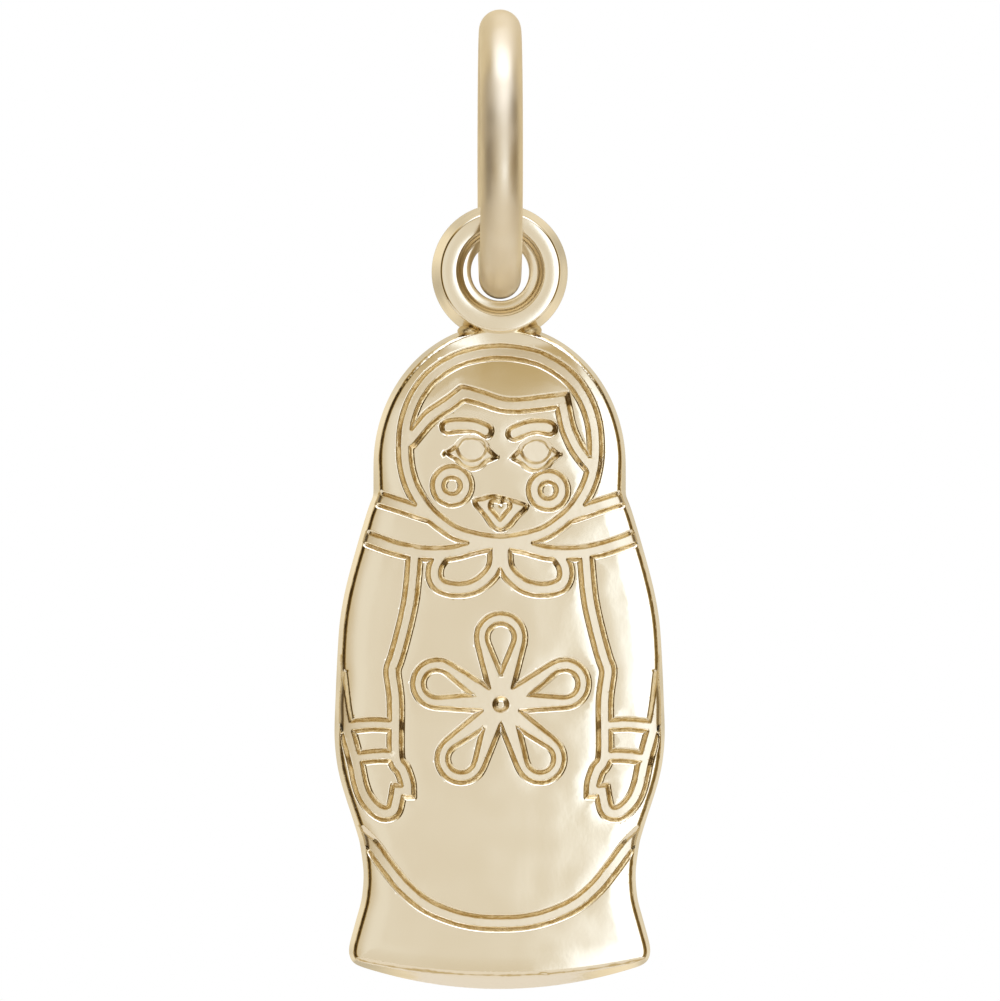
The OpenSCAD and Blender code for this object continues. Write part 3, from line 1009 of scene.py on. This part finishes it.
def from_tree(name, tree, values):
    """Plain mesh object that a node tree makes with the given inputs."""
    maker = placed(name + "_maker", bpy.data.meshes.new(name + "_maker"))
    modifier = maker.modifiers.new("shape", "NODES")
    modifier.node_group = tree
    for item in tree.interface.items_tree:
        if item.in_out == "INPUT" and item.name in values:
            modifier[item.identifier] = values[item.name]
    graph = bpy.context.evaluated_depsgraph_get()
    mesh = bpy.data.meshes.new_from_object(maker.evaluated_get(graph), depsgraph=graph)
    mesh.name = name
    maker.modifiers.clear()
    bpy.data.objects.remove(maker)
    return placed(name, mesh)


def settings():
    """The charm's settings in this scene."""
    return bpy.context.scene.charm


class CHARM_OT_plaque(Operator):
    """Relief plaque of the doll"""

    bl_idname = "charm.plaque"
    bl_label = "Doll plaque"

    def execute(self, context):
        finish = settings().finish
        points, faces, corner, depth = make_plaque(PlaqueForm(settings().relief))
        obj = mesh_object("plaque", points, faces, corner)
        # The sunk attribute holds each point's depth in a sunk line; it sets the rougher floors and the
        # painted shade at the walls' feet and along the rim's rounded edge
        sunk = obj.data.attributes.new("sunk", "FLOAT", "POINT")
        sunk.data.foreach_set("value", depth.astype(np.float32))
        obj.data.materials.append(
            gold_material("plaque_gold", finish.gold, finish.polish, "sunk", finish.floor_roughness))
        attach(obj, "charm")
        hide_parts("doll_plaque")
        return {"FINISHED"}


class CHARM_OT_eyelet(Operator):
    """Eyelet on the head"""

    bl_idname = "charm.eyelet"
    bl_label = "Eyelet"

    def execute(self, context):
        finish = settings().finish
        low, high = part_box("eyelet")
        points, _ = cad_triangles("eyelet")
        centre, half = eyelet_circle()
        hole = np.hypot(points[:, 0] - centre[0], points[:, 2] - centre[1]).min()
        section = eyelet_section(half, hole, -BACK_STEP, (high.y - low.y) / MM)
        points, faces = revolve(section, EYELET_STEPS, centre, high.y / MM)
        obj = mesh_object("eyelet_ring", points * MM, faces)
        obj.data.materials.append(gold_material("eyelet_gold", finish.gold, finish.polish))
        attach(obj, "charm")
        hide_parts("eyelet")
        return {"FINISHED"}


class CHARM_OT_solder(Operator):
    """Solder in the notches beside the eyelet"""

    bl_idname = "charm.solder"
    bl_label = "Solder"

    def execute(self, context):
        finish = settings().finish
        gold = gold_material("solder_gold", finish.solder, SOLDER_POLISH)
        for seed, node in enumerate(("solder_left", "solder_right")):
            low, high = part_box(node)
            middle = (low + high) / 2 / MM
            inner = middle.x - math.copysign(SOLDER_SHIFT[0], middle.x)
            place = (inner, middle.y, middle.z - SOLDER_SHIFT[1])
            radii = (SOLDER_RADII[0], (high.y - low.y) / 2 / MM, SOLDER_RADII[1])
            points, faces = lump(place, radii, seed)
            obj = mesh_object(node.replace("solder", "solder_bead"), points * MM, faces)
            obj.data.materials.append(gold)
            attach(obj, "charm")
            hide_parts(node)
        return {"FINISHED"}


class CHARM_OT_ring(Operator):
    """Jump ring of round wire"""

    bl_idname = "charm.ring"
    bl_label = "Jump ring"

    def execute(self, context):
        finish = settings().finish
        low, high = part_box("jump_ring")
        wire = (high.x - low.x) / 2
        values = {
            "Ring Radius": (high.z - low.z) / 2 - wire,
            "Wire Radius": wire,
            "Drop": (high.z + low.z) / 2,
            "Material": gold_material("ring_gold", finish.gold, finish.satin),
        }
        obj = from_tree("wire_ring", ring_tree(), values)
        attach(obj, "ring")
        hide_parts("jump_ring")
        return {"FINISHED"}


# Stage

# Light of the studio by direction: from left to right, and from below to above
SIDE_STOPS = (
    (-1.0, 0.06), (-0.8, 0.12), (-0.6, 0.3), (-0.48, 0.48), (-0.36, 0.7), (-0.22, 0.86), (-0.1, 0.85),
    (-0.03, 0.79), (0.03, 0.8), (0.065, 0.87), (0.09, 1.05), (0.115, 1.38), (0.16, 1.48), (0.42, 1.45),
    (0.52, 0.8), (0.66, 0.42), (0.82, 0.25), (1.0, 0.15))
HEIGHT_STOPS = (
    (-1.0, 0.95), (-0.7, 0.95), (-0.5, 0.92), (-0.36, 0.9), (-0.24, 0.94), (-0.12, 1.0), (0.08, 1.0),
    (0.2, 0.8), (0.3, 0.62), (0.4, 0.55), (0.46, 0.25), (0.5, 0.05), (0.54, 0.25), (0.59, 1.4), (0.66, 2.1),
    (1.0, 2.2))

# Colour of the studio's light at each level: brown cards, cream walls and white lamps
LEVEL_TOP = 2.0
LEVEL_COLOURS = (
    (0.0, (0.0, 0.0, 0.0)), (0.1, (0.10, 0.06, 0.02)), (0.35, (0.42, 0.30, 0.11)), (0.5, (0.57, 0.46, 0.27)),
    (0.8, (0.80, 0.77, 0.73)), (1.0, (1.02, 1.06, 1.12)), (1.4, (1.45, 1.6, 1.95)), (2.0, (1.8, 1.9, 2.3)))
WHITE = (1.0, 1.0, 1.0, 1.0)

# Wall behind the charm: colour, its noise's scale, detail and range, range of light, and where it is whole
REAR_COLOUR = (0.76, 0.67, 0.50)
REAR_NOISE = (6.0, 0.0)
REAR_RANGE = (0.3, 0.7)
REAR_CHANGE = (0.75, 1.25)
REAR_BLEND = 0.35


def studio_world():
    """White for the camera, and the studio's cards, dark gaps and rear wall for the metal."""
    world = bpy.data.worlds.new("studio")
    bpy.context.scene.world = world
    tree = Shading(world)
    way = tree.add("TexCoord").outputs["Generated"]
    part = tree.add("SeparateXYZ", {"Vector": way}).outputs
    cards = tree.math("MULTIPLY", tree.levels(part["X"], SIDE_STOPS), tree.levels(part["Z"], HEIGHT_STOPS))
    stops = [(place / LEVEL_TOP, (*colour, 1.0)) for place, colour in LEVEL_COLOURS]
    front = tree.colours(tree.math("DIVIDE", cards, LEVEL_TOP), stops)
    change = tree.carried(tree.noise(way, *REAR_NOISE), *REAR_RANGE, *REAR_CHANGE)
    rear = tree.add("VectorMath", {0: REAR_COLOUR, "Scale": change}, operation="SCALE").outputs["Vector"]
    behind = tree.carried(part["Y"], 0.0, REAR_BLEND, interpolation_type="SMOOTHSTEP")
    around = tree.mixed(behind, front, rear)
    seen = tree.mixed(tree.add("LightPath").outputs["Is Camera Ray"], around, WHITE)
    tree.give(tree.nodes["Background"], {"Color": seen})


# Nearest place that the camera sees, in metres
NEAR_CLIP = 0.01

# Floor: radius in metres, faces round it, colour and roughness
FLOOR_REACH = 0.25
FLOOR_STEPS = 96
FLOOR_COLOUR = (0.90, 0.87, 0.80, 1.0)
FLOOR_FINISH = 0.7


def place_camera(stage):
    """Long lens in front of the charm, a little to the left."""
    camera = placed("camera", bpy.data.cameras.new("camera"))
    turn, away = stage.camera_turn, stage.camera_distance
    camera.location = (-math.sin(turn) * away, -math.cos(turn) * away, stage.view_height)
    camera.rotation_euler = (math.pi / 2, 0.0, -turn)
    lens = camera.data
    lens.sensor_fit = "HORIZONTAL"
    lens.lens = lens.sensor_width * away / stage.view_width
    lens.clip_start = NEAR_CLIP
    bpy.context.scene.camera = camera


class CHARM_OT_stage(Operator):
    """Camera, studio light and floor"""

    bl_idname = "charm.stage"
    bl_label = "Stage"

    def execute(self, context):
        stage = settings().stage
        studio_world()
        place_camera(stage)
        level = cad_box[0][2] - stage.floor_drop
        rim = [(FLOOR_REACH * x, FLOOR_REACH * y, level) for x, y in circle(FLOOR_STEPS)]
        floor = mesh_object("floor", rim, [tuple(range(FLOOR_STEPS))])
        material = bpy.data.materials.new("floor_white")
        tree = Shading(material)
        tree.give(tree.nodes["Principled BSDF"], {"Base Color": FLOOR_COLOUR, "Roughness": FLOOR_FINISH})
        floor.data.materials.append(material)
        context.scene.view_settings.view_transform = "Standard"
        return {"FINISHED"}


class CHARM_PT_panel(Panel):
    """Buttons that build the charm"""

    bl_idname = "CHARM_PT_panel"
    bl_label = "Matryoshka charm"
    bl_space_type = "VIEW_3D"
    bl_region_type = "UI"
    bl_category = "Charm"

    def draw(self, context):
        for operator in OPERATORS:
            self.layout.operator(operator.bl_idname)


OPERATORS = (CHARM_OT_stage, CHARM_OT_plaque, CHARM_OT_eyelet, CHARM_OT_solder, CHARM_OT_ring)
CLASSES = (ReliefSettings, FinishSettings, StageSettings, CharmSettings) + OPERATORS + (CHARM_PT_panel,)


def register():
    for cls in CLASSES:
        bpy.utils.register_class(cls)
    bpy.types.Scene.charm = PointerProperty(type=CharmSettings)


def unregister():
    del bpy.types.Scene.charm
    for cls in reversed(CLASSES):
        bpy.utils.unregister_class(cls)


def main():
    register()
    bpy.ops.charm.stage()
    bpy.ops.charm.plaque()
    bpy.ops.charm.eyelet()
    bpy.ops.charm.solder()
    bpy.ops.charm.ring()


if __name__ == "__main__":
    main()
